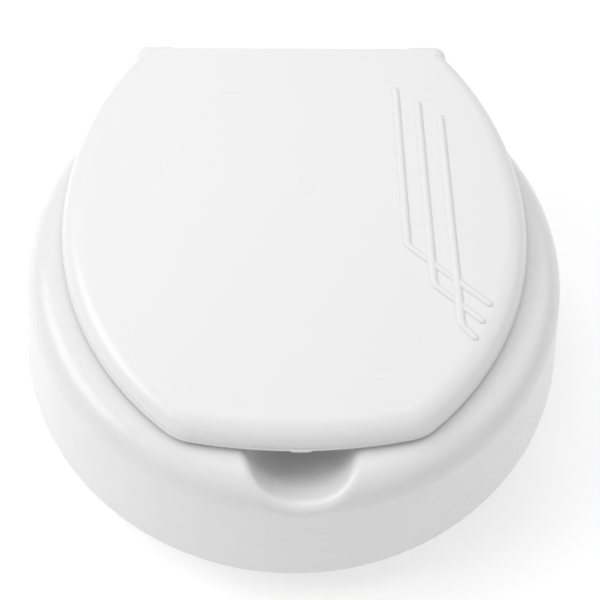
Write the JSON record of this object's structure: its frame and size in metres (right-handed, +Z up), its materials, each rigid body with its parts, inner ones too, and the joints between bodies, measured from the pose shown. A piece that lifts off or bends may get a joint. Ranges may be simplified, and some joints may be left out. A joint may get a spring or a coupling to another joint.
{
  "type": "raised toilet seat",
  "caption": "Round hollow riser that clamps onto a toilet bowl to raise the sitting height, with an oval aperture, a front hygiene scoop and a hinged lid.",
  "frame": {"origin": "on the riser's axis, at the height of the splash skirt's lowest edge", "axes": "+Z up; -Y towards the front, where the scoop is; +Y towards the hinges; +X to the right seen from the front"},
  "size_m": [0.4088, 0.4088, 0.1523],
  "materials": {
    "white_hdpe": "satin moulded, fine texture",
    "white_pp": "smooth, slightly glossy",
    "white_nylon": "moulded",
    "bracket_nylon": "moulded",
    "knob_grey": "moulded",
    "grey_rubber": "matt",
    "buffer_rubber": "matt white",
    "vent_ldpe": "soft",
    "stainless_screw": "plain",
    "stainless_pin": "ground",
    "brass": "turned"
  },
  "bodies": {
    "riser": {"seat_body": "white_hdpe", "left_hinge_block": "white_nylon", "right_hinge_block": "white_nylon", "hinge_block_screws": "stainless_screw", "hinge_screw_inserts": "brass", "left_hinge_pin": "stainless_pin", "right_hinge_pin": "stainless_pin", "left_clamp_insert": "brass", "right_clamp_insert": "brass", "antislip_pads": "grey_rubber", "vent_plug": "vent_ldpe"},
    "lid_body": {"lid": "white_pp", "front_lid_buffers": "buffer_rubber", "rear_lid_buffers": "buffer_rubber"},
    "left_clamp": {"left_clamp_bracket": "bracket_nylon", "left_clamp_pad": "grey_rubber"},
    "left_washer": {"left_clamp_washer": "stainless_pin"},
    "left_knob": {"left_clamp_knob": "knob_grey", "left_clamp_stud": "stainless_screw"},
    "right_clamp": {"right_clamp_bracket": "bracket_nylon", "right_clamp_pad": "grey_rubber"},
    "right_washer": {"right_clamp_washer": "stainless_pin"},
    "right_knob": {"right_clamp_knob": "knob_grey", "right_clamp_stud": "stainless_screw"}
  },
  "joints": [
    {"name": "lid_hinge", "type": "hinge", "parent": "riser", "child": "lid_body", "pos_m": [0, 0.1675, 0.141], "axis": [-1, 0, 0], "range_deg": [0, 105]},
    {"name": "left_clamp_slide", "type": "slide", "parent": "riser", "child": "left_clamp", "axis": [-1, 0, 0], "range_m": [0, 0.022]},
    {"name": "left_clamp_release", "type": "slide", "parent": "riser", "child": "left_washer", "axis": [0, 0, -1], "range_m": [0, 0.0025]},
    {"name": "left_knob_turn", "type": "hinge", "parent": "left_washer", "child": "left_knob", "pos_m": [-0.16, 0, 0.04], "axis": [0, 0, -1], "range_deg": [0, 720]},
    {"name": "right_clamp_slide", "type": "slide", "parent": "riser", "child": "right_clamp", "axis": [1, 0, 0], "range_m": [0, 0.022]},
    {"name": "right_clamp_release", "type": "slide", "parent": "riser", "child": "right_washer", "axis": [0, 0, -1], "range_m": [0, 0.0025]},
    {"name": "right_knob_turn", "type": "hinge", "parent": "right_washer", "child": "right_knob", "pos_m": [0.16, 0, 0.04], "axis": [0, 0, -1], "range_deg": [0, 720]}
  ],
  "couplings": [
    {"joint": "left_knob_turn", "follows": "left_clamp_release", "rad_per_m": 5026.5},
    {"joint": "right_knob_turn", "follows": "right_clamp_release", "rad_per_m": 5026.5}
  ]
}
